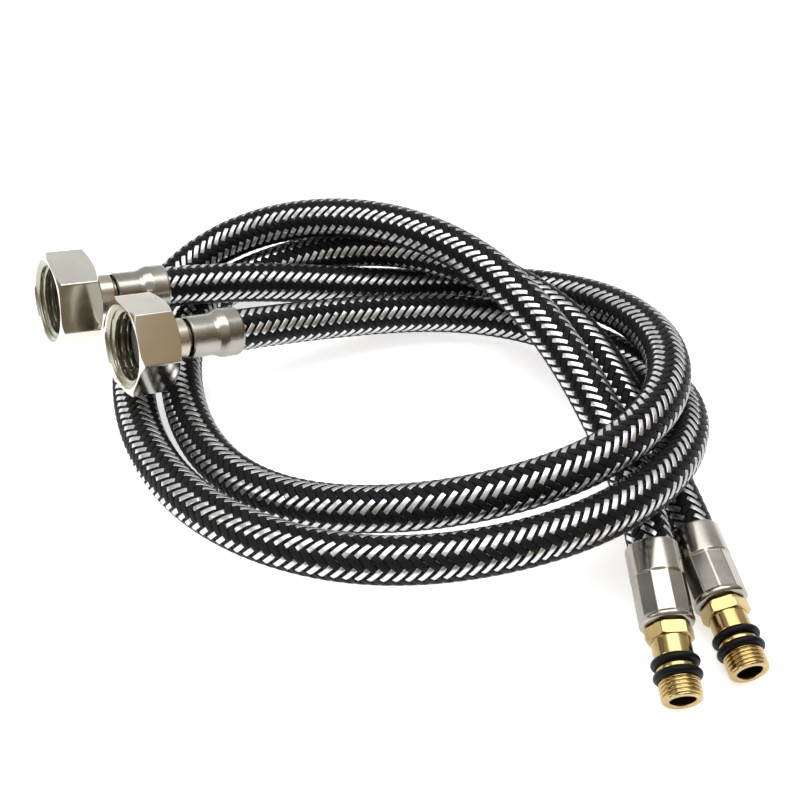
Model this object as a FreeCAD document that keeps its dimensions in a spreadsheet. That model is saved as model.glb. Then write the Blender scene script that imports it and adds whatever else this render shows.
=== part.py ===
import FreeCAD, Part
import Sketcher
import math
import os

# A pair of flexible braided tap connectors, coiled together and resting on a flat floor.
# Each hose carries a loose G 1/2 hexagon nut at one end and a slim M10x1 male tail at the other.
# Millimetres, +Z up, floor at z = 0, origin under the middle of the coil's bounding box.
# Each end's pieces are drawn about their own Z axis, which starts at the ferrule's hose-side
# mouth and points out of the hose.

Vector = FreeCAD.Vector
Placement = FreeCAD.Placement
doc = FreeCAD.newDocument("braided_supply_lines")

# ---------------------------------------------------------------- driving dimensions
# Lengths and heights along an end's axis, "_d", "_od" and "_id" diameters, "_af" across flats.
# A text value is a formula of the dimensions above it.
DIMENSIONS = [
    # diametral gaps between nested pieces, and the wall of both ferrules
    ("liner_gap", 0.04), ("fit_gap", 0.06), ("ferrule_wall", 0.5),
    # overlap of cutting profiles beyond the metal
    ("cut_over", 1), ("barb_over", 0.5), ("nut_thread_over", 0.2), ("tail_thread_over", 0.3),
    # hose; flex_len is the stretch at each end that is swept on its own
    ("hose_od", 12), ("sleeve_id", 11), ("liner_od", "=sleeve_id-liner_gap"), ("liner_id", 8),
    ("flex_len", 30),
    # nut-end ferrule
    ("nf_len", 15.2), ("nf_flare_len", 5), ("nf_cone_end", 7.6),
    ("nf_flare_od", 14), ("nf_flare_id", "=nf_flare_od-2*ferrule_wall"), ("nf_mouth_id", 12.3),
    ("nf_crimp_od", 11.9), ("nf_crimp_id", "=nf_crimp_od-2*ferrule_wall"),
    ("nf_lip_len", 0.8), ("nf_lip_slope", 0.35), ("nf_round", 0.55), ("nf_end_cham", 0.25),
    ("mouth_cham", 0.15),
    # hose squeezed inside the nut-end ferrule
    ("sleeve_crimp_od", "=nf_crimp_id-fit_gap"), ("sleeve_crimp_id", 9.9),
    ("liner_crimp_od", "=sleeve_crimp_id-liner_gap"), ("liner_crimp_id", 7),
    ("liner_taper_lead", 0.3), ("liner_bore_len", 0.8), ("hose_end_z", 14.8),
    # nut-end insert
    ("stem_start", 3), ("stem_od", "=liner_crimp_id-fit_gap"), ("stem_barb_root", 6.3),
    ("stem_nose", 0.5), ("stem_nose_len", 0.9), ("insert_bore", 4.6),
    ("groove_od", 9.2), ("groove_step", 0.1), ("collar_start", 16.1), ("collar_od", 11.6),
    ("collar_cham", 0.4), ("flange_z", 24.45), ("flange_thick", 1.3), ("flange_od", 17.6),
    ("insert_mouth", 6.4), ("insert_mouth_len", 0.9),
    # barbs, alike on the insert and the tail
    ("barb_first", 5), ("barb_pitch", 2.8), ("barb_width", 1.2), ("barb_count", 4),
    # swivel nut, at its tightest place against the flange
    ("nut_z", 22.5), ("nut_len", 12.2), ("nut_af", 24), ("nut_hole_d", 11.76), ("nut_wall", 1.9),
    ("nut_minor_d", 18.63), ("nut_pocket_d", 19), ("nut_major_d", 20.95), ("nut_pitch", 1.814),
    ("nut_crest", 0.36), ("nut_root", 0.26), ("nut_turns", 4),
    ("nut_relief_d", 21.15), ("nut_relief_len", 2.25),
    ("nut_mouth_d", 23), ("nut_mouth_depth", 1.6), ("nut_mouth_edge", 0.3),
    # its chamfers rise by "_cham" over a radius of "_run"; the cutter reaches out by "_reach"
    ("nut_front_d", 25.4), ("nut_front_cham", 0.35), ("nut_front_run", 0.6),
    ("nut_front_reach", 2),
    ("nut_back_d", 23.2), ("nut_back_cham", 1.35), ("nut_back_run", 2.3), ("nut_back_reach", 4),
    # how far each nut has slid towards its hose
    ("nut_slide_a", 0.3), ("nut_slide_b", 0.6),
    # gasket
    ("gasket_od", 18.4), ("gasket_id", 10), ("gasket_thick", 1.6), ("gasket_gap", 0.02),
    # tail-end ferrule
    ("tf_len", 21.3), ("tf_plain_len", 8.7), ("tf_plain_od", 13.7),
    ("tf_plain_id", "=tf_plain_od-2*ferrule_wall"), ("tf_mouth_id", 12.3), ("tf_lip_len", 0.7),
    ("tf_lip_slope", 0.3), ("tf_round", 0.45), ("tf_round_len", 0.5), ("tf_round_mid", 0.12),
    ("tf_round_mid_z", 0.15), ("tf_crimp_start", 9.3), ("tf_crimp_end", 19.7),
    ("tf_crimp_af", 13), ("tf_crimp_id", 12.06), ("tf_facets", 10), ("tf_under_facets", 0.02),
    ("tf_bead_od", 13.7), ("tf_bead_start", 0.3), ("tf_bead_end", 0.75),
    ("tf_bore_lead", 0.5), ("tf_bore_margin", 0.1), ("tf_bore_step", 0.2),
    ("tf_end_id", 10.2), ("tf_end_od", 11.4), ("tf_end_wall", 0.6), ("tail_hose_end", 19.2),
    # brass tail
    ("tail_stem_start", 3), ("tail_stem_od", "=liner_id-fit_gap"), ("tail_barb_root", 7.2),
    ("tail_nose", 0.35), ("tail_nose_len", 0.8), ("tail_bore", 6.2),
    ("tail_collar_z", 19.4), ("tail_collar_od", 9.5), ("shank_od", 9.6), ("shank_overlap", 0.5),
    ("hex_z", 21.7), ("hex_len", 3.3), ("hex_af", 10.5),
    ("hex_cham_d", 11.2), ("hex_cham_reach", 1.5), ("hex_cham_drop", 0.855),
    ("ring_one_z", 30.7), ("ring_two_z", 34), ("ring_groove", 2.2), ("ring_root_d", 7.7),
    ("thread_z", 35.6), ("thread_lead", 0.15), ("tail_len", 40.2), ("tail_major_d", 9.94),
    ("tail_minor_d", 8.84), ("tail_pitch", 1), ("tail_crest", 0.2), ("tail_root", 0.14),
    ("tail_turns", 4), ("tail_tip_cham", 0.45), ("tail_tip_d", 9), ("tail_mouth_d", 6.9),
    ("tail_mouth_len", 0.4),
    # O-rings
    ("ring_mean_d", 9.8), ("ring_section_d", 2.06),
]

# (x, y, z) poles of each hose's centreline, from the nut-end ferrule's mouth to the tail-end's.
POLES = {
    "a": [
        (-60.940, 46.256, 21.049), (-54.804, 49.675, 19.075), (-39.853, 54.865, 15.965),
        (-18.398, 60.348, 10.276), (7.231, 63.587, 5.265), (34.985, 64.134, 6.543),
        (59.857, 55.698, 11.746), (76.807, 38.003, 19.044), (83.413, 14.637, 26.167),
        (78.342, -9.024, 31.130), (62.197, -28.098, 32.762), (37.300, -38.842, 31.463),
        (9.188, -41.483, 26.925), (-17.196, -34.888, 20.264), (-38.259, -18.338, 13.205),
        (-51.658, 6.703, 7.871), (-57.131, 34.818, 5.789), (-52.502, 58.001, 6.233),
        (-33.896, 71.081, 8.056), (-7.599, 74.720, 13.966), (18.824, 66.078, 19.341),
        (44.213, 49.422, 19.812), (63.284, 30.275, 17.357), (73.050, 5.998, 11.447),
        (81.557, -16.753, 8.014), (84.589, -33.834, 7.482),
    ],
    "b": [
        (-38.065, 27.983, 20.995), (-23.339, 36.993, 15.639), (-2.391, 45.444, 10.858),
        (21.631, 51.151, 7.401), (45.936, 48.935, 5.805), (67.702, 37.398, 6.348),
        (83.136, 19.412, 10.938), (87.911, -1.860, 18.671), (79.631, -25.109, 24.375),
        (59.986, -44.098, 27.825), (32.215, -55.055, 28.747), (2.873, -57.123, 26.821),
        (-23.817, -48.199, 23.113), (-46.003, -30.355, 17.513), (-61.222, -5.901, 11.247),
        (-69.173, 21.928, 6.995), (-69.886, 47.431, 6.825), (-59.961, 66.363, 10.990),
        (-41.034, 76.239, 18.282), (-15.879, 75.453, 25.566), (11.242, 65.049, 30.403),
        (35.590, 46.188, 30.317), (53.022, 21.483, 25.372), (64.703, -5.229, 18.273),
        (71.447, -27.078, 12.813), (72.247, -41.005, 11.098),
    ],
}


def pole_alias(tag, axis, i):
    return "pole_%s_%s_%s" % (tag, axis, chr(ord("a") + i))


sheet = doc.addObject("Spreadsheet::Sheet", "dims")
row = 0
for name, value in DIMENSIONS:
    row += 1
    sheet.set("A%d" % row, name)
    sheet.set("B%d" % row, value if isinstance(value, str) else "%.6g" % value)
    sheet.setAlias("B%d" % row, name)
for tag, poles in POLES.items():
    for i, pole in enumerate(poles):
        row += 1
        sheet.set("A%d" % row, "pole %s %d" % (tag, i))
        for column, axis, value in zip("BCD", "xyz", pole):
            sheet.set("%s%d" % (column, row), "%.3f" % value)
            sheet.setAlias("%s%d" % (column, row), pole_alias(tag, axis, i))
doc.recompute()


def num(expression):
    """The number an expression of the sheet's dimensions gives."""
    value = sheet.evalExpression(expression)
    return float(getattr(value, "Value", value))


def full(expression):
    """The same expression as another object has to write it; every alias has an underscore."""
    out, word = "", ""
    for char in expression + " ":
        if char.isalnum() or char == "_":
            word += char
        else:
            out += ("dims." + word if "_" in word else word) + char
            word = ""
    return out.strip()


# ---------------------------------------------------------------- turned and milled features
def origin(body, role):
    return [item for item in body.Origin.OriginFeatures if item.Role == role][0]


def polygon(body, name, role, points, lift=None):
    """A closed sketch through points given as pairs of expressions, each bound to the sheet."""
    sketch = body.newObject("Sketcher::SketchObject", name)
    sketch.AttachmentSupport = [(origin(body, role), "")]
    sketch.MapMode = "FlatFace"
    if lift is not None:
        sketch.setExpression("AttachmentOffset.Base.z", full(lift))
    places = [(num(across), num(up)) for across, up in points]
    corners = [Vector(x, y, 0) for x, y in places]
    following = corners[1:] + corners[:1]
    sketch.addGeometry([Part.LineSegment(p, q) for p, q in zip(corners, following)], False)
    count = len(points)
    for i in range(count):
        sketch.addConstraint(Sketcher.Constraint("Coincident", i, 2, (i + 1) % count, 1))
    for i in range(count):
        # a corner on a sketch axis (-2 vertical, -1 horizontal) is tied to it
        for kind, k, axis in (("DistanceX", 0, -2), ("DistanceY", 1, -1)):
            if abs(places[i][k]) < 1e-9:
                sketch.addConstraint(Sketcher.Constraint("PointOnObject", i, 1, axis))
            else:
                size = Sketcher.Constraint(kind, -1, 1, i, 1, places[i][k])
                index = sketch.addConstraint(size)
                sketch.setExpression("Constraints[%d]" % index, full(points[i][k]))
    return sketch


def revolve(body, name, points, kind="Revolution"):
    """A profile of (radius, height) pairs turned about the body's Z axis."""
    sketch = polygon(body, name + "_profile", "XZ_Plane", points)
    feature = body.newObject("PartDesign::" + kind, name)
    feature.Profile = sketch
    feature.ReferenceAxis = (sketch, ["V_Axis"])
    feature.Angle = 360.0
    body.Tip = feature
    return feature


def groove(body, name, points):
    """The same, cut away."""
    return revolve(body, name, points, "Groove")


def repeat(body, feature, name, pitch, count):
    """A linear pattern of a feature along the body's Z axis."""
    pattern = body.newObject("PartDesign::LinearPattern", name)
    pattern.Originals = [feature]
    pattern.Direction = (origin(body, "Z_Axis"), [""])
    pattern.setExpression("Length", full("%s*(%s-1)" % (pitch, count)))
    pattern.setExpression("Occurrences", full(count))
    body.Tip = pattern


def prism(body, name, across_flats, sides, turn, lift, length):
    """A regular prism, turned by degrees about the body's Z axis."""
    corners = []
    for i in range(sides):
        angle = math.radians(turn + 360.0 * (i + 0.5) / sides)
        corners.append(tuple(
            "%s/2/%.12f*%.12f" % (across_flats, math.cos(math.pi / sides), part)
            for part in (math.cos(angle), math.sin(angle))))
    feature = body.newObject("PartDesign::Pad", name)
    feature.Profile = polygon(body, name + "_outline", "XY_Plane", corners, lift)
    feature.setExpression("Length", full(length))
    body.Tip = feature


def corner_chamfer(body, name, diameter, level, reach, rise):
    """A cone cut round a hexagon's corners; rise is a signed text such as "+size"."""
    outside = "%s/2+%s" % (diameter, reach)
    groove(body, name, [(diameter + "/2", level), (outside, level), (outside, level + rise)])


def barbs(body, tag, stem, root):
    """Tapered notches that leave barbs along a stem."""
    outside = stem + "/2+barb_over"
    notch = groove(body, "barb_" + tag, [
        (stem + "/2", "barb_first"), (outside, "barb_first"),
        (outside, "barb_first+barb_width"), (root + "/2", "barb_first+barb_width")])
    repeat(body, notch, "barbs_" + tag, "barb_pitch", "barb_count")


def thread(body, tag, kind, first, crest, root, over):
    """Ring grooves from the crest radius to the root radius, the first centred at a height."""
    half = "(%s_pitch-%s_crest)/2" % (kind, kind)
    flat = kind + "_root/2"
    ring = groove(body, "thread_groove_" + tag, [
        (crest + over, first + "-" + half), (crest, first + "-" + half),
        (root, first + "-" + flat), (root, first + "+" + flat),
        (crest, first + "+" + half), (crest + over, first + "+" + half)])
    repeat(body, ring, "thread_" + tag, kind + "_pitch", kind + "_turns")


# ---------------------------------------------------------------- placing and collecting
pieces = []


def keep(piece, label):
    piece.Label = label
    pieces.append(piece)


def new_body(name):
    return doc.addObject("PartDesign::Body", name)


def finish(body, place):
    body.Placement = place
    pieces.append(body)


def shifted(place, distance):
    """The same placement moved along its own Z axis, which points away from the hose."""
    return place.multiply(Placement(Vector(0, 0, distance), FreeCAD.Rotation()))


def frame_at(point, outward):
    """A placement whose Z axis points out of the hose's end and whose X axis is level."""
    z = Vector(outward).normalize()
    x = Vector(0, 0, 1).cross(z).normalize()
    y = z.cross(x)
    return Placement(FreeCAD.Matrix(x.x, y.x, z.x, point.x, x.y, y.y, z.y, point.y,
                                    x.z, y.z, z.z, point.z, 0, 0, 0, 1))


# ---------------------------------------------------------------- nut-end pieces
def swivel_nut(tag, place, turn):
    body = new_body("swivel_nut_" + tag)
    prism(body, "hexagon_" + tag, "nut_af", 6, turn, "nut_z", "nut_len")
    # about 30 degrees, small in front (the open end) and broad at the hose-side back
    corner_chamfer(body, "front_chamfer_" + tag, "nut_front_d", "nut_z+nut_len",
                   "nut_front_reach", "-nut_front_cham*nut_front_reach/nut_front_run")
    corner_chamfer(body, "back_chamfer_" + tag, "nut_back_d", "nut_z",
                   "nut_back_reach", "+nut_back_cham*nut_back_reach/nut_back_run")
    # hole for the neck, undercut, the gasket's pocket, thread core and mouth in one cut
    wall_end = "nut_z+nut_wall"
    relief_end = wall_end + "+nut_relief_len"
    pocket_end = relief_end + "+nut_pitch/2"
    groove(body, "core_" + tag, [
        ("0", "nut_z-cut_over"), ("nut_hole_d/2", "nut_z-cut_over"),
        ("nut_hole_d/2", wall_end), ("nut_relief_d/2", wall_end),
        ("nut_relief_d/2", relief_end), ("nut_pocket_d/2", relief_end),
        ("nut_pocket_d/2", pocket_end), ("nut_minor_d/2", pocket_end),
        ("nut_minor_d/2", "nut_z+nut_len-nut_mouth_depth"),
        ("nut_mouth_d/2", "nut_z+nut_len-nut_mouth_edge"),
        ("nut_mouth_d/2", "nut_z+nut_len+cut_over"), ("0", "nut_z+nut_len+cut_over")])
    thread(body, tag, "nut", first=relief_end + "+nut_crest/2+nut_pitch/2",
           crest="nut_minor_d/2", root="nut_major_d/2", over="-nut_thread_over")
    finish(body, place)


def gasket(tag, place):
    body = new_body("gasket_" + tag)
    bottom = "flange_z+flange_thick+gasket_gap"
    top = bottom + "+gasket_thick"
    revolve(body, "ring_" + tag, [("gasket_id/2", bottom), ("gasket_od/2", bottom),
                                  ("gasket_od/2", top), ("gasket_id/2", top)])
    finish(body, place)


def nut_insert(tag, place):
    body = new_body("nut_insert_" + tag)
    flange_top = "flange_z+flange_thick"
    revolve(body, "stem_and_flange_" + tag, [
        ("insert_bore/2", "stem_start"), ("stem_od/2-stem_nose", "stem_start"),
        ("stem_od/2", "stem_start+stem_nose_len"), ("stem_od/2", "nf_len-groove_step"),
        ("groove_od/2", "nf_len+groove_step"), ("groove_od/2", "collar_start"),
        ("collar_od/2-collar_cham", "collar_start"),
        ("collar_od/2", "collar_start+collar_cham"),
        ("collar_od/2", "flange_z"), ("flange_od/2", "flange_z"), ("flange_od/2", flange_top),
        ("insert_mouth/2", flange_top), ("insert_bore/2", flange_top + "-insert_mouth_len")])
    barbs(body, tag, "stem_od", "stem_barb_root")
    finish(body, place)


def nut_ferrule(tag, place):
    body = new_body("nut_ferrule_" + tag)
    revolve(body, "sleeve_" + tag, [
        ("nf_mouth_id/2", "mouth_cham"), ("nf_mouth_id/2+mouth_cham", "0"),
        ("nf_flare_od/2-nf_round", "0"), ("nf_flare_od/2-nf_round*0.3", "nf_round*0.3"),
        ("nf_flare_od/2", "nf_round"), ("nf_flare_od/2", "nf_flare_len"),
        ("nf_crimp_od/2", "nf_cone_end"), ("nf_crimp_od/2", "nf_len-nf_end_cham"),
        ("nf_crimp_od/2-nf_end_cham", "nf_len"), ("nf_crimp_id/2", "nf_len"),
        ("nf_crimp_id/2", "nf_cone_end"), ("nf_flare_id/2", "nf_flare_len"),
        ("nf_flare_id/2", "nf_lip_len+nf_lip_slope"), ("nf_mouth_id/2", "nf_lip_len")])
    finish(body, place)


# ---------------------------------------------------------------- tail-end pieces
def tail_ferrule(tag, place, turn):
    body = new_body("tail_ferrule_" + tag)
    under = "tf_crimp_af/2-tf_under_facets"
    revolve(body, "tube_" + tag, [
        ("tf_mouth_id/2", "mouth_cham"), ("tf_mouth_id/2+mouth_cham", "0"),
        ("tf_plain_od/2-tf_round", "0"), ("tf_plain_od/2-tf_round_mid", "tf_round_mid_z"),
        ("tf_plain_od/2", "tf_round_len"), ("tf_plain_od/2", "tf_plain_len"),
        (under, "tf_crimp_start"), (under, "tf_crimp_end"),
        ("tf_bead_od/2", "tf_crimp_end+tf_bead_start"),
        ("tf_bead_od/2", "tf_crimp_end+tf_bead_end"),
        ("tf_end_od/2", "tf_len"), ("tf_end_id/2", "tf_len"),
        ("tf_end_id/2", "tf_len-tf_end_wall"),
        ("tf_crimp_id/2-tf_bore_step", "tf_crimp_end+tf_bore_step"),
        ("tf_crimp_id/2", "tf_crimp_end-tf_bore_margin"),
        ("tf_crimp_id/2", "tf_crimp_start"), ("tf_plain_id/2", "tf_plain_len"),
        ("tf_plain_id/2", "tf_lip_len+tf_lip_slope"), ("tf_mouth_id/2", "tf_lip_len")])
    # the crimping jaws leave flat facets
    prism(body, "facets_" + tag, "tf_crimp_af", int(num("tf_facets")), turn,
          "tf_crimp_start", "tf_crimp_end-tf_crimp_start")
    # the solid prism filled the bore
    bottom = "tf_crimp_start-tf_bore_lead"
    top = "tf_crimp_end+tf_bore_margin"
    groove(body, "clear_bore_" + tag, [
        ("0", bottom), ("tf_crimp_id/2", bottom), ("tf_crimp_id/2", top), ("0", top)])
    finish(body, place)


def male_tail(tag, place, turn):
    body = new_body("male_tail_" + tag)
    ring_grooves = []
    for ring in ("ring_one_z", "ring_two_z"):
        low = ring + "-ring_groove/2"
        high = ring + "+ring_groove/2"
        ring_grooves += [("shank_od/2", low), ("ring_root_d/2", low),
                         ("ring_root_d/2", high), ("shank_od/2", high)]
    revolve(body, "turned_tail_" + tag, [
        ("tail_bore/2", "tail_stem_start"), ("tail_stem_od/2-tail_nose", "tail_stem_start"),
        ("tail_stem_od/2", "tail_stem_start+tail_nose_len"),
        ("tail_stem_od/2", "tail_collar_z"), ("tail_collar_od/2", "tail_collar_z"),
        ("tail_collar_od/2", "hex_z+shank_overlap"), ("shank_od/2", "hex_z+shank_overlap"),
        *ring_grooves,
        ("shank_od/2", "thread_z-thread_lead"), ("tail_major_d/2", "thread_z"),
        ("tail_major_d/2", "tail_len-tail_tip_cham"), ("tail_tip_d/2", "tail_len"),
        ("tail_mouth_d/2", "tail_len"), ("tail_bore/2", "tail_len-tail_mouth_len")])
    prism(body, "spanner_hexagon_" + tag, "hex_af", 6, turn, "hex_z", "hex_len")
    corner_chamfer(body, "hexagon_chamfer_low_" + tag, "hex_cham_d", "hex_z",
                   "hex_cham_reach", "+hex_cham_drop")
    corner_chamfer(body, "hexagon_chamfer_high_" + tag, "hex_cham_d", "hex_z+hex_len",
                   "hex_cham_reach", "-hex_cham_drop")
    # the solid hexagon filled the bore
    bottom = "hex_z-cut_over"
    top = "hex_z+hex_len+cut_over"
    groove(body, "bore_" + tag, [
        ("0", bottom), ("tail_bore/2", bottom), ("tail_bore/2", top), ("0", top)])
    barbs(body, tag, "tail_stem_od", "tail_barb_root")
    thread(body, tag, "tail", first="thread_z+tail_pitch*0.75",
           crest="tail_major_d/2", root="tail_minor_d/2", over="+tail_thread_over")
    finish(body, place)


def o_ring(label, place, height):
    torus = doc.addObject("Part::Torus", label)
    torus.setExpression("Radius1", full("ring_mean_d/2"))
    torus.setExpression("Radius2", full("ring_section_d/2"))
    torus.Placement = shifted(place, num(height))
    keep(torus, label)


# ---------------------------------------------------------------- braid and liner
# Each layer: name, name of its coil piece, outer and inner diameter, and the (radius, height)
# profile of its squeezed end inside the nut-end ferrule.
LAYERS = [
    ("braid", "braid_sleeve_", "hose_od", "sleeve_id", [
        ("sleeve_id/2", "0"), ("hose_od/2", "0"), ("hose_od/2", "nf_flare_len"),
        ("sleeve_crimp_od/2", "nf_cone_end"), ("sleeve_crimp_od/2", "hose_end_z"),
        ("sleeve_crimp_id/2", "hose_end_z"), ("sleeve_crimp_id/2", "nf_cone_end"),
        ("sleeve_id/2", "nf_flare_len")]),
    ("liner", "liner_", "liner_od", "liner_id", [
        ("liner_id/2", "0"), ("liner_od/2", "0"),
        ("liner_od/2", "nf_flare_len-liner_taper_lead"),
        ("liner_crimp_od/2", "nf_cone_end-liner_taper_lead"),
        ("liner_crimp_od/2", "hose_end_z"), ("liner_crimp_id/2", "hose_end_z"),
        ("liner_crimp_id/2", "stem_start"), ("liner_id/2", "liner_bore_len")]),
]


def centreline(tag):
    """A clamped, uniform cubic B-spline through the sheet's poles."""
    poles = [Vector(*[num(pole_alias(tag, axis, i)) for axis in "xyz"])
             for i in range(len(POLES[tag]))]
    spans = len(poles) - 3
    curve = Part.BSplineCurve()
    curve.buildFromPolesMultsKnots(poles, [4] + [1] * (spans - 1) + [4],
                                   [float(i) / spans for i in range(spans + 1)], False, 3)
    return curve


def swept(name, path, diameter, start):
    """A solid rod of a bound diameter along a path."""
    ring = doc.addObject("Part::Circle", name + "_ring")
    ring.setExpression("Radius", full(diameter + "/2"))
    ring.Placement = start
    rod = doc.addObject("Part::Sweep", name)
    rod.Sections = [ring]
    rod.Spine = (path, ["Edge1"])
    rod.Solid = True
    rod.Frenet = False
    return rod


def hose_length(label, path, outer, inner, end_body=None):
    """A tube along a path, with the stretch inside its ferrule joined on if there is one."""
    edge = path.Shape.Edges[0]
    first = edge.FirstParameter
    start = Placement(edge.valueAt(first),
                      FreeCAD.Rotation(Vector(0, 0, 1), edge.tangentAt(first)))
    tube = doc.addObject("Part::Cut", label + "_tube")
    tube.Base = swept(label + "_outside", path, outer, start)
    tube.Tool = swept(label + "_inside", path, inner, start)
    if end_body is None:
        keep(tube, label)
        return
    joined = doc.addObject("Part::MultiFuse", label)
    joined.Shapes = [tube, end_body]
    joined.Refine = False
    keep(joined, label)


def hose_end(name, place, profile):
    body = new_body(name)
    revolve(body, name + "_turned", profile)
    body.Placement = place
    return body


def hose(tag, nut_turn, hexagon_turn, facet_turn):
    """One connector; the turns are degrees about the axis of the end each piece is on."""
    curve = centreline(tag)
    whole = curve.toShape()
    start = whole.FirstParameter
    end = whole.LastParameter
    coil_start = whole.getParameterByLength(num("flex_len"))
    coil_end = whole.getParameterByLength(whole.Length - num("flex_len"))
    paths = {}
    for part, low, high in (("nut_end", start, coil_start), ("coil", coil_start, coil_end),
                            ("tail_end", coil_end, end)):
        stretch = curve.copy()
        stretch.segment(low, high)
        paths[part] = doc.addObject("Part::Feature", "path_%s_%s" % (part, tag))
        paths[part].Shape = stretch.toShape()
    doc.recompute()
    at_nut = frame_at(whole.valueAt(start), -whole.tangentAt(start))
    at_tail = frame_at(whole.valueAt(end), whole.tangentAt(end))

    swivel_nut(tag, shifted(at_nut, -num("nut_slide_" + tag)), nut_turn)
    gasket(tag, at_nut)
    nut_insert(tag, at_nut)
    nut_ferrule(tag, at_nut)
    tail_ferrule(tag, at_tail, facet_turn)
    male_tail(tag, at_tail, hexagon_turn)
    o_ring("o_ring_inner_" + tag, at_tail, "ring_one_z")
    o_ring("o_ring_outer_" + tag, at_tail, "ring_two_z")

    for layer, coil, outer, inner, squeezed in LAYERS:
        hose_length(coil + tag, paths["coil"], outer, inner)
        straight = [(inner + "/2", "0"), (outer + "/2", "0"),
                    (outer + "/2", "tail_hose_end"), (inner + "/2", "tail_hose_end")]
        for side, place, profile in (("nut", at_nut, squeezed), ("tail", at_tail, straight)):
            end_body = hose_end("%s_in_%s_ferrule_%s" % (layer, side, tag), place, profile)
            hose_length("%s_%s_end_%s" % (layer, side, tag), paths[side + "_end"],
                        outer, inner, end_body)


hose("a", nut_turn=24.2, hexagon_turn=47.9, facet_turn=10.9)
hose("b", nut_turn=44.1, hexagon_turn=28.6, facet_turn=27.1)
doc.recompute()

# ---------------------------------------------------------------- checks, then the files
for obj in doc.Objects:
    bad = [state for state in obj.State if state in ("Invalid", "Error")]
    if bad:
        raise RuntimeError("%s is %s" % (obj.Label, bad))
for piece in pieces:
    shape = piece.Shape
    if shape.isNull() or not shape.isValid() or len(shape.Solids) != 1 or shape.Volume <= 0:
        raise RuntimeError("no sound solid in %s" % piece.Label)

# every cut has to remove something, and every pattern has to repeat it
for obj in doc.Objects:
    if obj.TypeId in ("PartDesign::Groove", "PartDesign::Pad", "PartDesign::LinearPattern"):
        base = obj.BaseFeature
        if base is None and obj.TypeId == "PartDesign::LinearPattern":
            base = obj.Originals[0]
        if base is not None and abs(base.Shape.Volume - obj.Shape.Volume) < 1e-4:
            raise RuntimeError("%s changes nothing" % obj.Label)

os.makedirs("parts", exist_ok=True)
for piece in pieces:
    piece.Shape.exportStep("parts/%s.step" % piece.Label)
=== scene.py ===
"""Two braided hoses, "a" and "b", coiled together on a floor.

The coils lie level, one turn over another, with +Z up. Each hose starts at its nut end, which has
a hexagonal swivel nut, and finishes at its tail end, a brass piece with two O-rings and a thread.
Shapes are worked out in millimetres and scaled to metres as each mesh is made.
"""
import bmesh
import bpy
import math
import numpy as np
from mathutils import Matrix


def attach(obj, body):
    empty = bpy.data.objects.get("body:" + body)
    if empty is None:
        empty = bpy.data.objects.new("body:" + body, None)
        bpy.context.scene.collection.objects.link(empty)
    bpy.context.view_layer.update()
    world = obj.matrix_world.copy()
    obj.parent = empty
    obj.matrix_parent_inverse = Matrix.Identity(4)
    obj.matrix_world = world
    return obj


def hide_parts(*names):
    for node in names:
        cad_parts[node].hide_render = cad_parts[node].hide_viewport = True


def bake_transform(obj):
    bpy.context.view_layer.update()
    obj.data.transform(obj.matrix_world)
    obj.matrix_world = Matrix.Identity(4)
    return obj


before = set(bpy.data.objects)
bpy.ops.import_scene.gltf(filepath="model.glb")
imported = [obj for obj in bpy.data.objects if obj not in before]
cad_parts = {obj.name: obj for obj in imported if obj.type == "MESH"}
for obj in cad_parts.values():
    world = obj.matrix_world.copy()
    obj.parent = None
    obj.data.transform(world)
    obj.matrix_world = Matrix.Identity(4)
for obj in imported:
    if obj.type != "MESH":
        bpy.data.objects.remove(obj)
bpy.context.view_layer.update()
MM = 0.001
TURN = 2 * math.pi

# ------------------------------------------------------------------ hose dimensions, millimetres
# Control points (x, y, z) of the centrelines, from nut end to tail end
POLES = {
    "a": [
        (-60.940, 46.256, 21.049), (-54.804, 49.675, 19.075), (-39.853, 54.865, 15.965),
        (-18.398, 60.348, 10.276), (7.231, 63.587, 5.265), (34.985, 64.134, 6.543),
        (59.857, 55.698, 11.746), (76.807, 38.003, 19.044), (83.413, 14.637, 26.167),
        (78.342, -9.024, 31.130), (62.197, -28.098, 32.762), (37.300, -38.842, 31.463),
        (9.188, -41.483, 26.925), (-17.196, -34.888, 20.264), (-38.259, -18.338, 13.205),
        (-51.658, 6.703, 7.871), (-57.131, 34.818, 5.789), (-52.502, 58.001, 6.233),
        (-33.896, 71.081, 8.056), (-7.599, 74.720, 13.966), (18.824, 66.078, 19.341),
        (44.213, 49.422, 19.812), (63.284, 30.275, 17.357), (73.050, 5.998, 11.447),
        (81.557, -16.753, 8.014), (84.589, -33.834, 7.482),
    ],
    "b": [
        (-38.065, 27.983, 20.995), (-23.339, 36.993, 15.639), (-2.391, 45.444, 10.858),
        (21.631, 51.151, 7.401), (45.936, 48.935, 5.805), (67.702, 37.398, 6.348),
        (83.136, 19.412, 10.938), (87.911, -1.860, 18.671), (79.631, -25.109, 24.375),
        (59.986, -44.098, 27.825), (32.215, -55.055, 28.747), (2.873, -57.123, 26.821),
        (-23.817, -48.199, 23.113), (-46.003, -30.355, 17.513), (-61.222, -5.901, 11.247),
        (-69.173, 21.928, 6.995), (-69.886, 47.431, 6.825), (-59.961, 66.363, 10.990),
        (-41.034, 76.239, 18.282), (-15.879, 75.453, 25.566), (11.242, 65.049, 30.403),
        (35.590, 46.188, 30.317), (53.022, 21.483, 25.372), (64.703, -5.229, 18.273),
        (71.447, -27.078, 12.813), (72.247, -41.005, 11.098),
    ],
}
FLEX = 30.0                     # length of hose beside each ferrule that is built as an end piece of its own
BLEND_INSET = 0.5               # an inset inside that length; bend_with_end works out points from it and leaves them unused

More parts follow.
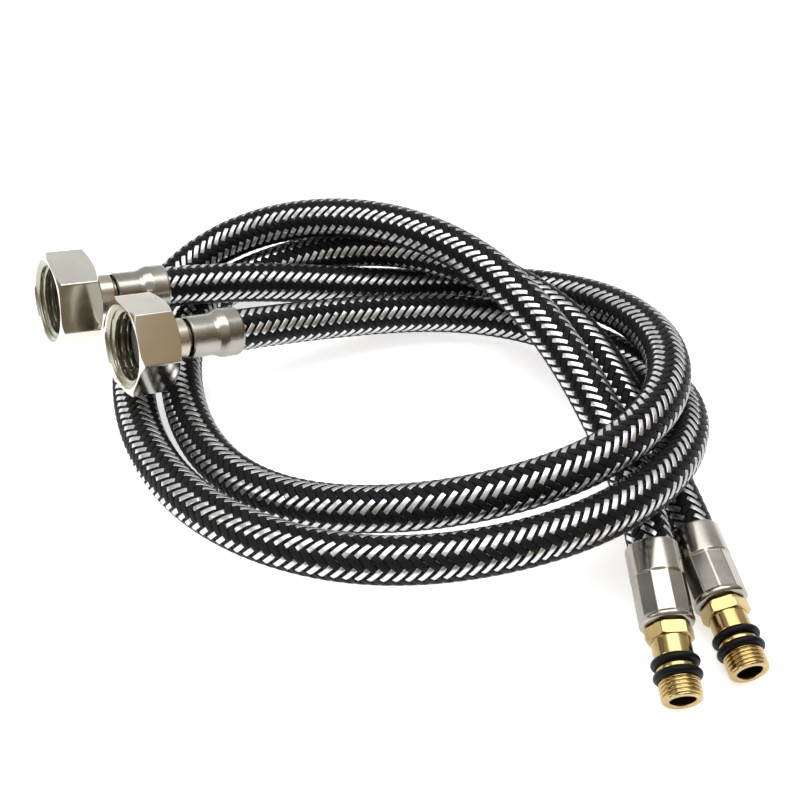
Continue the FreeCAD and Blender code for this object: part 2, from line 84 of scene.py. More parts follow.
STRANDS = 12                    # strands of each hand
LEAD = 33.0                     # length along the hose of one turn of a strand
STRAND_STEP = LEAD / (2 * STRANDS) / 3
TWIST = math.radians(-0.104)    # slow twist of the braid about the hose, per mm
BRAID_START = {"a": (-7.5, 70.9), "b": (13.5, 30.1)}    # braid angle, degrees, at an arc length
BRAID_R = 5.705                 # mean radius of the strands
WEAVE = 0.135                   # rise and fall of a strand about that radius
CROWN_R = 6.2                   # radius of the curve across a strand
STRAND_EDGE = -0.03             # height of a strand's edges
BRAID_REACH = 2.2               # how far the braid runs on inside a ferrule

LINING_REACH = {"nut": 14.7, "tail": 19.1}
LINING_STEP = 1.0
# Arc lengths and radii. The lining narrows only before the nut end, where arc length is negative
LINING_OUTER = ([-14.7, -7.4, -4.8, 0.0], [4.9, 4.9, 5.46, 5.46])
LINING_INNER = ([-14.7, -3.2, -0.6, 0.0], [3.52, 3.52, 4.0, 4.0])


# ------------------------------------------------------------------ centrelines
def spline(poles, u):
    """Clamped uniform cubic B-spline, by de Boor's rule."""
    poles = np.array(poles, float)
    count = len(poles)
    spans = count - 3
    knots = np.concatenate([[0.0] * 4, np.arange(1, spans) / spans, [1.0] * 4])
    k = np.clip(np.searchsorted(knots, u, side="right") - 1, 3, count - 1)
    points = [poles[k - 3 + j] for j in range(4)]
    for r in range(1, 4):
        for j in range(3, r - 1, -1):
            i = k - 3 + j
            share = ((u - knots[i]) / (knots[i + 4 - r] - knots[i]))[:, None]
            points[j] = (1 - share) * points[j - 1] + share * points[j]
    return points[3]


def unit(v):
    v = np.asarray(v, float)
    return v / np.linalg.norm(v, axis=-1, keepdims=True) if False else (
        v / np.linalg.norm(v, axis=-1, keepdims=True))


class Hose:
    """A centreline by arc length, with a frame that doesn't turn about it."""

    def __init__(self, tag):
        self.tag = tag
        poles = POLES[tag]
        u = np.linspace(0, 1, 24001)
        fine = spline(poles, u)
        steps = np.linalg.norm(np.diff(fine, axis=0), axis=1)
        arc = np.concatenate([[0], np.cumsum(steps)])
        self.length = float(arc[-1])
        self.arc = np.linspace(0, self.length, 6001)
        self.centre = np.stack([np.interp(self.arc, arc, fine[:, k]) for k in range(3)], 1)
        near = 1e-4
        u = np.interp(self.arc, arc, u)
        self.tangent = unit(spline(poles, np.clip(u + near, 0, 1))
                            - spline(poles, np.clip(u - near, 0, 1)))
        self.normal = self.carried_normals()

    def carried_normals(self):
        """Carries the first normal along the hose by double reflection."""
        tangent = self.tangent
        normals = [unit(np.cross([0, 0, 1.0], tangent[0]))]
        for i in range(len(self.arc) - 1):
            step = self.centre[i + 1] - self.centre[i]
            step_sq = step @ step
            normal = normals[-1] - 2 / step_sq * (step @ normals[-1]) * step
            mirrored = tangent[i] - 2 / step_sq * (step @ tangent[i]) * step
            turn = tangent[i + 1] - mirrored
            turn_sq = turn @ turn
            if turn_sq > 1e-18:
                normal = normal - 2 / turn_sq * (turn @ normal) * turn
            normal = normal - (normal @ tangent[i + 1]) * tangent[i + 1]
            normals.append(normal / np.linalg.norm(normal))
        return np.array(normals)

    def at(self, s):
        """Centre, tangent and the two cross directions at arc lengths, straight past both ends."""
        s = np.asarray(s, float)
        inside = np.clip(s, 0, self.length)

        def sample(values):
            return np.stack([np.interp(inside, self.arc, values[:, k]) for k in range(3)], -1)

        tangent = unit(sample(self.tangent))
        centre = sample(self.centre) + (s - inside)[..., None] * tangent
        normal = sample(self.normal)
        normal = unit(normal - (normal * tangent).sum(-1, keepdims=True) * tangent)
        return centre, tangent, normal, np.cross(tangent, normal)


HOSES = {tag: Hose(tag) for tag in "ab"}


def end_frame(tag, end):
    """Origin at the ferrule's mouth and axes: Z out of the hose, X level."""
    hose = HOSES[tag]
    origin, tangent, _, _ = hose.at(0.0 if end == "nut" else hose.length)
    z = -tangent if end == "nut" else tangent
    x = unit(np.cross([0, 0, 1.0], z))
    return origin, x, np.cross(z, x), z


# ------------------------------------------------------------------ mesh helpers
def mesh_object(name, verts, quads, caps=(), uv=None, smooth=True):
    """An object from arrays: quads, then any larger faces, with an optional UV per vertex."""
    verts = np.asarray(verts, float).reshape(-1, 3) * MM
    quads = np.asarray(quads, np.int64).reshape(-1, 4)
    loops = np.concatenate([quads.ravel(), *caps])
    starts = np.cumsum([0] + [4] * len(quads) + [len(cap) for cap in caps])[:-1]
    mesh = bpy.data.meshes.new(name)
    mesh.vertices.add(len(verts))
    mesh.vertices.foreach_set("co", verts.astype(np.float32).ravel())
    mesh.loops.add(len(loops))
    mesh.loops.foreach_set("vertex_index", loops.astype(np.int32))
    mesh.polygons.add(len(starts))
    mesh.polygons.foreach_set("loop_start", starts.astype(np.int32))
    mesh.update(calc_edges=True)
    if uv is not None:
        layer = mesh.uv_layers.new(name="UVMap")
        corner_uv = np.asarray(uv, np.float32).reshape(-1, 2)[loops]
        layer.data.foreach_set("uv", corner_uv.ravel())
    mesh.validate()
    mesh.polygons.foreach_set("use_smooth", np.full(len(mesh.polygons), smooth))
    mesh.update()
    ob = bpy.data.objects.new(name, mesh)
    bpy.context.scene.collection.objects.link(ob)
    return ob


def ring_quads(rows, cols):
    """Quads (rows, cols, 4) of a grid that closes on itself both ways."""
    i, j = np.meshgrid(np.arange(rows), np.arange(cols), indexing="ij")
    this_row, next_row = i * cols, (i + 1) % rows * cols
    next_col = (j + 1) % cols
    return np.stack([this_row + j, this_row + next_col, next_row + next_col, next_row + j], -1)


def crisp(ob, angle=32.0):
    """Sharp edges stay sharp, and flats shade flat up to their rounded edges."""
    ob.data.set_sharp_from_angle(angle=math.radians(angle))
    flats = ob.modifiers.new("flats", "WEIGHTED_NORMAL")
    flats.keep_sharp = True
    flats.weight = 80
    return ob


def outward(ob):
    """Turns a closed mesh's faces outwards."""
    bm = bmesh.new()
    bm.from_mesh(ob.data)
    bmesh.ops.recalc_face_normals(bm, faces=bm.faces)
    if bm.calc_volume(signed=True) < 0:
        bmesh.ops.reverse_faces(bm, faces=bm.faces)
    bm.to_mesh(ob.data)
    bm.free()
    return ob


def flip_if_inward(ob):
    """Flips every face together if the mesh's signed volume is negative."""
    mesh = ob.data
    mesh.calc_loop_triangles()
    points = np.empty(len(mesh.vertices) * 3)
    mesh.vertices.foreach_get("co", points)
    corners = np.empty(len(mesh.loop_triangles) * 3, np.int32)
    mesh.loop_triangles.foreach_get("vertices", corners)
    a, b, c = points.reshape(-1, 3)[corners.reshape(-1, 3)].transpose(1, 0, 2)
    if (a * np.cross(b, c)).sum() < 0:
        mesh.flip_normals()


def turned(name, place, theta, radius, height):
    """A closed ring-shaped solid. radius and height are (rows, angles); the rows close up."""
    origin, x, y, z = place
    around = np.cos(theta)[None, :, None] * x + np.sin(theta)[None, :, None] * y
    points = origin + radius[..., None] * around + height[..., None] * z
    uv = np.stack([np.broadcast_to(theta / TURN, radius.shape), height * 0.1], -1)
    return outward(mesh_object(name, points, ring_quads(*radius.shape), uv=uv))


def rounded(points):
    """A closed profile with its corners rounded. Points are (r, z) or (r, z, corner radius)."""
    corners = [np.array(p[:2], float) for p in points]
    out = []
    for i, point in enumerate(points):
        before, here, after = corners[i - 1], corners[i], corners[(i + 1) % len(points)]
        if len(point) < 3:
            out.append(here)
            continue
        back, on = unit(before - here), unit(after - here)
        angle = math.acos(float(np.clip(back @ on, -1, 1)))
        cut = min(point[2] / math.tan(angle / 2), 0.45 * np.linalg.norm(before - here),
                  0.45 * np.linalg.norm(after - here))
        start, stop = here + back * cut, here + on * cut
        for f in np.linspace(0, 1, 6):
            out.append((1 - f) ** 2 * start + 2 * f * (1 - f) * here + f * f * stop)
    return np.array(out)


def lathe(name, place, points, ripple=None):
    """A turned piece. ripple(theta, z) is an optional small change of radius."""
    cols = 128
    profile = rounded(points)
    theta = np.linspace(0, TURN, cols, endpoint=False)
    radius = np.repeat(profile[:, :1], cols, 1)
    height = np.repeat(profile[:, 1:], cols, 1)
    if ripple is not None:
        radius = radius + ripple(theta[None, :], height)
    return crisp(turned(name, place, theta, radius, height))


def polygon(sides, phase, apothem, corner, per, edge):
    """Angles and radii of a regular polygon with rounded corners.

    The angles are closest at the corners: per sets their count on a flat, edge how wide the
    close part is. phase is the angle in degrees of a flat's middle.
    """
    half = math.pi / sides
    close = half * (1 - edge * 0.35)
    local = np.concatenate([np.linspace(0, close, per, endpoint=False),
                            np.linspace(close, half, 7)])
    local = np.concatenate([-local[:0:-1], local[:-1]])
    theta = np.concatenate([math.radians(phase) + 2 * half * k + local for k in range(sides)])
    off = np.abs(np.tile(local, sides))
    flat = apothem / np.cos(off)
    pivot = (apothem - corner) / math.cos(half)
    arc = pivot * np.cos(half - off) + np.sqrt(
        np.maximum(corner ** 2 - (pivot * np.sin(half - off)) ** 2, 0))
    on_flat = apothem * np.tan(off) <= (apothem - corner) * math.tan(half)
    return theta, np.where(on_flat, flat, arc)


class Rings:
    """A turned solid built ring by ring; a radius or height may vary with the angle."""

    def __init__(self, theta):
        self.theta = theta
        self.even = np.ones_like(theta)
        self.radius = []
        self.height = []

    def add(self, *rings):
        """Adds (radius, height) rings."""
        for radius, height in rings:
            self.radius.append(radius * self.even)
            self.height.append(height * self.even)

    def build(self, name, place, angle):
        solid = turned(name, place, self.theta, np.array(self.radius), np.array(self.height))
        return crisp(solid, angle)


def thread_form(z, theta, pitch, top, slope):
    """Trapezoidal wave, 0 to 1, of a helical thread at height z."""
    phase = (z / pitch - theta / TURN) % 1.0
    return np.clip(top - np.abs(phase - 0.5) * slope, 0.0, 1.0)


def smoothstep(f):
    return f * f * (3 - 2 * f)


# ------------------------------------------------------------------ braid and lining
def strand_section(kind):
    """Cross-section of a strand: places across it, and heights."""
    if kind == "wire":                       # a flat ribbon with five ridges
        half_width = 0.66
        across = np.linspace(-half_width, half_width, 11)
        height = np.where(np.arange(11) % 2 == 1, 0.13, 0.055)
        height[[0, -1]] = STRAND_EDGE
    else:                                    # a low, rounded mound
        half_width = 1.03
        across = np.linspace(-half_width, half_width, 9)
        height = 0.155 * np.sqrt(np.maximum(1 - (across / half_width) ** 2, 0)) + STRAND_EDGE
    return across, height


def strands(hose, s0, s1, kind, name):
    """Twelve strands of one hand, woven two over and two under the other twelve."""
    hand, seed = {"wire": (-1, 7), "yarn": (1, 11)}[kind]
    rng = np.random.default_rng(seed)
    rings = int(round((s1 - s0) / STRAND_STEP)) + 1
    s = np.linspace(s0, s1, rings)
    turn = hand * TURN / LEAD * s
    angle, ref = BRAID_START[hose.tag]
    phase = math.radians(angle) + TWIST * (s - ref)
    across, height = strand_section(kind)
    height = height - across ** 2 / (2 * CROWN_R)
    cols = len(across)
    centre, _, normal, binormal = hose.at(s)
    one = ring_quads(rings, cols)[:-1].reshape(-1, 4)[:, ::-1]
    cap = np.arange(cols)
    verts, uvs, quads, caps = [], [], [], []
    for i in range(STRANDS):
        theta = phase + TURN * i / STRANDS + turn
        crossed = i + 2 * turn / (TURN / STRANDS)
        wave = np.cos(TURN * (i + crossed - 0.5) / 4)
        lift = np.tanh(2.4 * wave) / math.tanh(2.4) * -hand
        out = np.cos(theta)[:, None] * normal + np.sin(theta)[:, None] * binormal
        path = centre + (BRAID_R + WEAVE * lift)[:, None] * out
        along = unit(np.gradient(path, axis=0))
        side = unit(np.cross(along, out))
        up = np.cross(side, along)
        width = 1 + 0.04 * rng.standard_normal()
        verts.append(path[:, None, :] + (across * width)[None, :, None] * side[:, None, :]
                     + height[None, :, None] * up[:, None, :])
        uvs.append(np.stack(np.broadcast_arrays(np.linspace(0, 1, cols)[None, :] + i,
                                                (s / 10.0)[:, None]), -1))
        base = i * rings * cols
        quads.append(one + base)
        caps.append(cap + base)
        caps.append((cap + base + (rings - 1) * cols)[::-1])
    ob = mesh_object(name, np.array(verts), np.concatenate(quads), caps, uv=np.array(uvs))
    flip_if_inward(ob)
    return ob


def lining_tube(hose, name, s0, s1):
    """The black lining seen between the strands."""
    s = np.linspace(s0, s1, int((s1 - s0) / LINING_STEP))
    centre, _, normal, binormal = hose.at(s)
    cols = 48
    theta = np.linspace(0, TURN, cols, endpoint=False)
    around = (np.cos(theta)[None, :, None] * normal[:, None, :]
              + np.sin(theta)[None, :, None] * binormal[:, None, :])
    outer, inner = [centre[:, None, :] + np.interp(s, *table)[:, None, None] * around
                    for table in (LINING_OUTER, LINING_INNER)]
    points = np.concatenate([outer, inner[::-1]])
    uv = np.stack(np.broadcast_arrays((theta / TURN)[None, :],
                                      np.concatenate([s, s[::-1]])[:, None] * 0.1), -1)
    return outward(mesh_object(name, points, ring_quads(len(points), cols), uv=uv))


# ------------------------------------------------------------------ shader helpers
def material(name):
    mat = bpy.data.materials.new(name)
    mat.use_nodes = True
    return mat, mat.node_tree, mat.node_tree.nodes["Principled BSDF"]


def add_node(tree, kind, values=None):
    """A new node, with input values by name."""
    node = tree.nodes.new(kind)
    for key, value in (values or {}).items():
        node.inputs[key].default_value = value
    return node


def coords(tree, scale=(1, 1, 1), source="Object"):
    coord = add_node(tree, "ShaderNodeTexCoord")
    mapping = add_node(tree, "ShaderNodeMapping", {"Scale": scale})
    tree.links.new(coord.outputs[source], mapping.inputs["Vector"])
    return mapping.outputs["Vector"]


def noise(tree, vector, scale, detail, rough=0.55):
    node = add_node(tree, "ShaderNodeTexNoise",
                    {"Scale": scale, "Detail": detail, "Roughness": rough})
    tree.links.new(vector, node.inputs["Vector"])
    return node.outputs["Fac"]


def ramp(tree, factor, stops):
    """Colour ramp through (position, colour) stops."""
    node = add_node(tree, "ShaderNodeValToRGB")
    elements = node.color_ramp.elements
    while len(elements) < len(stops):
        elements.new(0.5)
    for k, (position, colour) in enumerate(stops):
        elements[k].position = position
        elements[k].color = (*colour, 1.0)
    tree.links.new(factor, node.inputs["Fac"])
    return node.outputs["Color"]


def remap(tree, value, source, target):
    """Maps the range source onto the range target."""
    node = add_node(tree, "ShaderNodeMapRange", {
        "From Min": source[0], "From Max": source[1], "To Min": target[0], "To Max": target[1]})
    tree.links.new(value, node.inputs["Value"])
    return node.outputs["Result"]


def mix_colour(tree, factor, first, second):
    """Mixes from a linked colour to a fixed one."""
    mix = add_node(tree, "ShaderNodeMix")
    mix.data_type = "RGBA"
    tree.links.new(factor, mix.inputs[0])
    tree.links.new(first, mix.inputs[6])
    mix.inputs[7].default_value = second
    return mix.outputs[2]


def bump(tree, bsdf, height, strength, distance):
    """Adds a bump on top of any already there."""
    node = add_node(tree, "ShaderNodeBump", {"Strength": strength, "Distance": distance})
    tree.links.new(height, node.inputs["Height"])
    last = bsdf.inputs["Normal"].links
    if last:
        tree.links.new(last[0].from_socket, node.inputs["Normal"])
    tree.links.new(node.outputs["Normal"], bsdf.inputs["Normal"])


# ------------------------------------------------------------------ materials
def metal(name, low, high, rough, fine_bump, patch, grain=None):
    """Uneven tone from low to high in patches, fine bumps, and turning lines scaled by grain."""
    mat, tree, bsdf = material(name)
    vector = coords(tree)
    patches = noise(tree, vector, patch, detail=4.0)
    tone = ramp(tree, patches, [(0.35, low), (0.65, high)])
    tree.links.new(tone, bsdf.inputs["Base Color"])
    bsdf.inputs["Metallic"].default_value = 1.0
    fine = noise(tree, vector, scale=1400.0, detail=3.0, rough=0.6)
    roughness = remap(tree, patches, source=(0.35, 0.65), target=rough)
    tree.links.new(roughness, bsdf.inputs["Roughness"])
    if grain is not None:
        lines = noise(tree, coords(tree, grain, "UV"), scale=1.0, detail=3.0, rough=0.6)
        bump(tree, bsdf, lines, strength=0.05, distance=0.00002)
    bump(tree, bsdf, fine, strength=fine_bump, distance=0.000006)
    return mat


def nickel_plate():
    """Bright plating, duller and darker where the nut's "bore" attribute is 1."""
    mat = metal("nickel_plate", low=(0.70, 0.67, 0.61), high=(0.78, 0.75, 0.69),
                rough=(0.13, 0.19), fine_bump=0.02, patch=60.0)
    tree = mat.node_tree
    colour, roughness = [tree.nodes["Principled BSDF"].inputs[key]
                         for key in ("Base Color", "Roughness")]
    bore = add_node(tree, "ShaderNodeAttribute")
    bore.attribute_name = "bore"
    bore_colour = (0.38, 0.375, 0.30, 1.0)
    mixed = mix_colour(tree, bore.outputs["Fac"], colour.links[0].from_socket, bore_colour)
    tree.links.new(mixed, colour)
    added = add_node(tree, "ShaderNodeMath")
    added.operation = "MULTIPLY_ADD"
    tree.links.new(bore.outputs["Fac"], added.inputs[0])
    added.inputs[1].default_value = 0.12     # extra roughness in the bore
    tree.links.new(roughness.links[0].from_socket, added.inputs[2])
    tree.links.new(added.outputs[0], roughness)
    return mat


def soft(name, base, rough, specular, grain, strength, light=None):
    """A dull material with a fine bumpy grain; light is the colour of its lighter patches."""
    mat, tree, bsdf = material(name)
    vector = coords(tree)
    patches = noise(tree, vector, scale=150.0, detail=4.0)
    light = light or tuple(2.2 * c for c in base)
    tone = ramp(tree, patches, [(0.35, base), (0.75, light)])
    tree.links.new(tone, bsdf.inputs["Base Color"])
    fine = noise(tree, vector, grain, detail=5.0, rough=0.7)
    roughness = remap(tree, fine, source=(0.3, 0.7), target=rough)
    tree.links.new(roughness, bsdf.inputs["Roughness"])
    bsdf.inputs["Specular IOR Level"].default_value = specular
    bump(tree, bsdf, fine, strength, distance=0.00004)
    return mat


def black_yarn():
    """Soft black with threads running along the strand."""
    mat = soft("black_yarn", base=(0.0035, 0.0035, 0.0040), rough=(0.40, 0.6), specular=0.16,
               grain=700.0, strength=0.3)
    tree = mat.node_tree
    threads = add_node(tree, "ShaderNodeTexWave",
                       {"Scale": 2.6, "Distortion": 1.2, "Detail": 2.0})
    threads.wave_type = "BANDS"
    threads.bands_direction = "X"
    tree.links.new(coords(tree, source="UV"), threads.inputs["Vector"])
    bump(tree, tree.nodes["Principled BSDF"], threads.outputs["Fac"], strength=0.7,
         distance=0.00006)
    return mat


MATERIALS = {
    "wire": metal("steel_wire", low=(0.62, 0.63, 0.655), high=(0.77, 0.78, 0.80),
                  rough=(0.24, 0.36), fine_bump=0.05, patch=260.0),
    "nickel": nickel_plate(),
    "steel": metal("satin_steel", low=(0.32, 0.305, 0.27), high=(0.42, 0.40, 0.36),
                   rough=(0.20, 0.28), fine_bump=0.03, patch=80.0, grain=(3.0, 60.0, 1.0)),
    "neck": metal("nickel_neck", low=(0.46, 0.42, 0.35), high=(0.56, 0.51, 0.43),
                  rough=(0.22, 0.32), fine_bump=0.03, patch=80.0, grain=(2.0, 50.0, 1.0)),
    "brass": metal("turned_brass", low=(0.39, 0.285, 0.12), high=(0.49, 0.37, 0.17),
                   rough=(0.15, 0.24), fine_bump=0.03, patch=120.0, grain=(2.0, 60.0, 1.0)),
    "yarn": black_yarn(),
    "rubber": soft("black_rubber", base=(0.003, 0.003, 0.0035), rough=(0.35, 0.5),
                   specular=0.15, grain=500.0, strength=0.15),
    "lining": soft("black_lining", base=(0.006, 0.006, 0.006), rough=(0.5, 0.7),
                   specular=0.25, grain=600.0, strength=0.3),
    "washer": soft("grey_washer", base=(0.13, 0.13, 0.12), rough=(0.5, 0.7), specular=0.3,
                   grain=450.0, strength=0.35, light=(0.20, 0.20, 0.185)),
}

# CAD nodes that stay showing get a material of their own
for node_name, cad_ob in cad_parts.items():
    if node_name.startswith("liner"):
        look = "lining"
    else:
        look = "rubber" if "ring" in node_name else "steel"
    cad_ob.data.materials.clear()
    cad_ob.data.materials.append(MATERIALS[look])


def finish(ob, look, body, replaced):
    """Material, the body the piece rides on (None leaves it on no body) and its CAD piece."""
    ob.data.materials.append(MATERIALS[look])
    if body is not None:
        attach(ob, body)
    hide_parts(replaced)


# ------------------------------------------------------------------ hoses
def end_span(hose, end, reach):
    """Arc lengths of an end's bending part, with its reach past the hose's end."""
    if end == "nut":
        return -reach, FLEX
    return hose.length - FLEX, hose.length + reach


def bend_with_end(ob, hose, end):
    """Bakes the piece's transform into its mesh; the centreline points it works out near the end are
    not used.
    """
    start, stop = FLEX - BLEND_INSET, BLEND_INSET
    if end == "tail":
        start, stop = hose.length - start, hose.length - stop
    tuple(hose.at(start)[0] * MM)
    tuple(hose.at(stop)[0] * MM)
    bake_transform(ob)


for tag, hose in HOSES.items():
    cuts = [FLEX, hose.length / 2, hose.length - FLEX]
    for kind in ("wire", "yarn"):
        for part in range(2):
            ob = strands(hose, cuts[part], cuts[part + 1], kind,
                         f"braid_{kind}_coil_{tag}_{part + 1}")
            finish(ob, kind, "coil", "braid_sleeve_" + tag)
        for end in ("nut", "tail"):
            ob = strands(hose, *end_span(hose, end, BRAID_REACH), kind,
                         f"braid_{kind}_{end}_end_{tag}")
            finish(ob, kind, None, f"braid_{end}_end_{tag}")
            bend_with_end(ob, hose, end)
    for end in ("nut", "tail"):
        ob = lining_tube(hose, f"lining_{end}_end_{tag}",
                         *end_span(hose, end, LINING_REACH[end]))
        finish(ob, "lining", None, f"liner_{end}_end_{tag}")
        bend_with_end(ob, hose, end)

# ------------------------------------------------------------------ nut ends
# Heights are along the end's Z, out of the hose from the ferrule's mouth.
NUT_Z = 22.5
NUT_BACK = {"a": 0.3, "b": 0.6}         # how far each nut has slid back from NUT_Z
NUT_LENGTH = 12.2
NUT_PHASE = {"a": 24.2, "b": 44.1}      # angle of a flat's middle, degrees
NUT_APOTHEM = 12.0
NUT_HOLE_R = 5.88                       # hole in the nut's floor, on the hose side
NUT_FLOOR = 1.95                        # height of the bore's floor above the nut's base
NUT_PITCH = 1.814

# Closed profiles: radius, height, and a corner radius where the corner is rounded
WASHER_PROFILE = [(5.0, 25.77, 0.15), (9.2, 25.77, 0.15), (9.2, 27.37, 0.25), (5.0, 27.37, 0.25)]
NECK_PROFILE = [
    (2.3, 3.0), (2.97, 3.0), (3.47, 3.9), (3.47, 15.1), (4.6, 15.3), (4.6, 16.08, 0.1),
    (5.45, 16.1, 0.25), (5.8, 16.6, 0.3), (5.8, 24.4, 0.1), (8.8, 24.45, 0.15),
    (8.8, 25.75, 0.15), (3.2, 25.75), (2.3, 24.85)]
NUT_COLLAR_PROFILE = [
    (6.15, 0.12), (6.3, 0.0), (6.75, 0.0, 0.3), (7.0, 0.6, 0.5), (7.0, 4.9, 1.0),
    (6.72, 5.8, 0.8), (6.1, 7.3, 0.8), (5.95, 8.4, 1.0), (5.95, 14.9, 0.2),
    (5.72, 15.2, 0.12), (5.45, 15.2), (5.45, 7.7), (6.5, 5.0), (6.5, 1.1), (6.15, 0.8)]


def swivel_nut(tag):
    """Hexagonal nut with chamfered corners, open and threaded at its far end."""
    base = NUT_Z - NUT_BACK[tag]
    top = base + NUT_LENGTH
    theta, side = polygon(6, NUT_PHASE[tag], NUT_APOTHEM, corner=0.45, per=8, edge=0.5)
    cone = math.tan(math.radians(30.4))
    base_r, top_r = 11.6, 12.7               # radii where the two chamfers start
    crease = base + (side - base_r) * cone
    edge = top - np.maximum((side - top_r) * cone, 0.0)
    lip = np.minimum(side, top_r)
    rings = Rings(theta)
    rings.add(
        (NUT_HOLE_R, base + 0.32), (5.95, base + 0.12), (6.2, base),
        (base_r - 0.25, base), (base_r - 0.06, base + 0.02), (base_r + 0.12, base + 0.09),
        (side - 0.16, crease - 0.16 * cone), (side - 0.05, crease - 0.01),
        (side, crease + 0.12), (side, edge - 0.20), (side - 0.03, edge - 0.06),
        (lip - 0.12, top - 0.015), (lip - 0.22, top),
        (11.62, top), (11.52, top - 0.04), (11.46, top - 0.16), (11.40, top - 0.34))
    widening = base + 10.95                  # the bore opens out to a plain mouth here
    for z in np.arange(top - 0.5, base + 3.3, -NUT_PITCH / 12):
        fade = (min(1.0, max(0.0, (top - 0.45 - z) / 0.8))
                * min(1.0, max(0.0, (z - base - 3.2) / 0.9)))
        crest = 9.32 + 1.98 * min(1.0, max(0.0, (z - widening + 0.35) / 1.05))
        root = max(crest, 10.46)
        form = thread_form(z, theta, NUT_PITCH, top=1.35, slope=3.6)
        rings.add((crest + (root - crest) * form * fade, z))
    rings.add(
        (9.5, base + 3.1), (10.3, base + 2.7), (10.3, base + NUT_FLOOR), (10.1, base + 1.9),
        (6.2, base + 1.9), (NUT_HOLE_R, base + 1.62))
    ob = rings.build(f"swivel_nut_{tag}_body", end_frame(tag, "nut"), angle=28.0)
    radius = np.array([ring.mean() for ring in rings.radius])
    height = np.array([ring.mean() for ring in rings.height])
    inside = (radius < 11.3) & (height > base + NUT_FLOOR)
    bore = ob.data.attributes.new("bore", "FLOAT", "POINT")
    bore.data.foreach_set("value", np.repeat(inside, len(theta)).astype(np.float32))
    finish(ob, "nickel", "nut_" + tag, "swivel_nut_" + tag)


def collar_dents(theta, z):
    """Eight shallow dents round the collar's narrow part."""
    return 0.02 * np.cos(8 * theta) * np.clip((z - 7.4) / 1.5, 0, 1) * np.clip((15.0 - z) / 0.8, 0, 1)


for tag in "ab":
    place = end_frame(tag, "nut")
    swivel_nut(tag)
    finish(lathe("washer_" + tag, place, WASHER_PROFILE),
           "washer", "gasket_" + tag, "gasket_" + tag)
    finish(lathe("nut_neck_" + tag, place, NECK_PROFILE),
           "neck", "nut_end_" + tag, "nut_insert_" + tag)
    finish(lathe("nut_collar_" + tag, place, NUT_COLLAR_PROFILE, ripple=collar_dents),
           "steel", "nut_end_" + tag, "nut_ferrule_" + tag)

# ------------------------------------------------------------------ tail ends
HEX_PHASE = {"a": 47.9, "b": 28.6}      # angle of a flat's middle on the brass hexagon, degrees
FACET_PHASE = {"a": 10.9, "b": 27.1}    # the same on the ferrule's ten facets
COLLAR_R = 6.85
BRASS_R = 4.8
SEALS = {"inner": 30.7, "outer": 34.0}  # heights of the O-rings; inner is nearer the hose
SEAL_R, SEAL_CORD_R = 4.9, 1.02         # the ring's mean radius and its cord's


def tail_ferrule(tag):
    """Steel ferrule: round at its mouth, pressed to ten facets, with a bead at its far end."""
    theta, facet = polygon(10, FACET_PHASE[tag], apothem=6.5, corner=0.9, per=4, edge=0.9)
    rings = Rings(theta)
    rings.add((6.15, 0.12), (6.3, 0.0))
    for a in np.linspace(0, math.pi / 2, 6):     # rounded mouth
        rings.add((6.5 + 0.35 * math.sin(a), 0.35 - 0.35 * math.cos(a)))
    for z in np.linspace(0.8, 8.2, 8):
        rings.add((COLLAR_R, z))
    for f in np.linspace(0, 1, 7):               # the step where the facets begin
        share = smoothstep(f)
        rings.add((COLLAR_R * (1 - share) + (facet - 0.05) * share, 8.4 + 0.75 * f))
    for f in np.linspace(0, 1, 10):
        rings.add((facet - 0.05 * (1 - f), 9.4 + 9.9 * f))
    for f in np.linspace(0, 1, 6):               # rolled bead
        share = smoothstep(f)
        rings.add((facet * (1 - share) + 6.84 * share, 19.4 + 0.5 * f))
    for a in np.linspace(0, math.pi * 0.42, 6):
        rings.add((5.95 + 0.9 * math.cos(a), 20.25 + 0.9 * math.sin(a)))
    rings.add((5.6, 21.3), (5.2, 21.3), (5.1, 21.2), (5.1, 20.7), (5.83, 19.9), (6.03, 19.6),
              (6.03, 9.3), (6.35, 8.7), (6.35, 1.0), (6.15, 0.7))
    ob = rings.build("tail_collar_" + tag, end_frame(tag, "tail"), angle=35.0)
    finish(ob, "steel", "tail_end_" + tag, "tail_ferrule_" + tag)


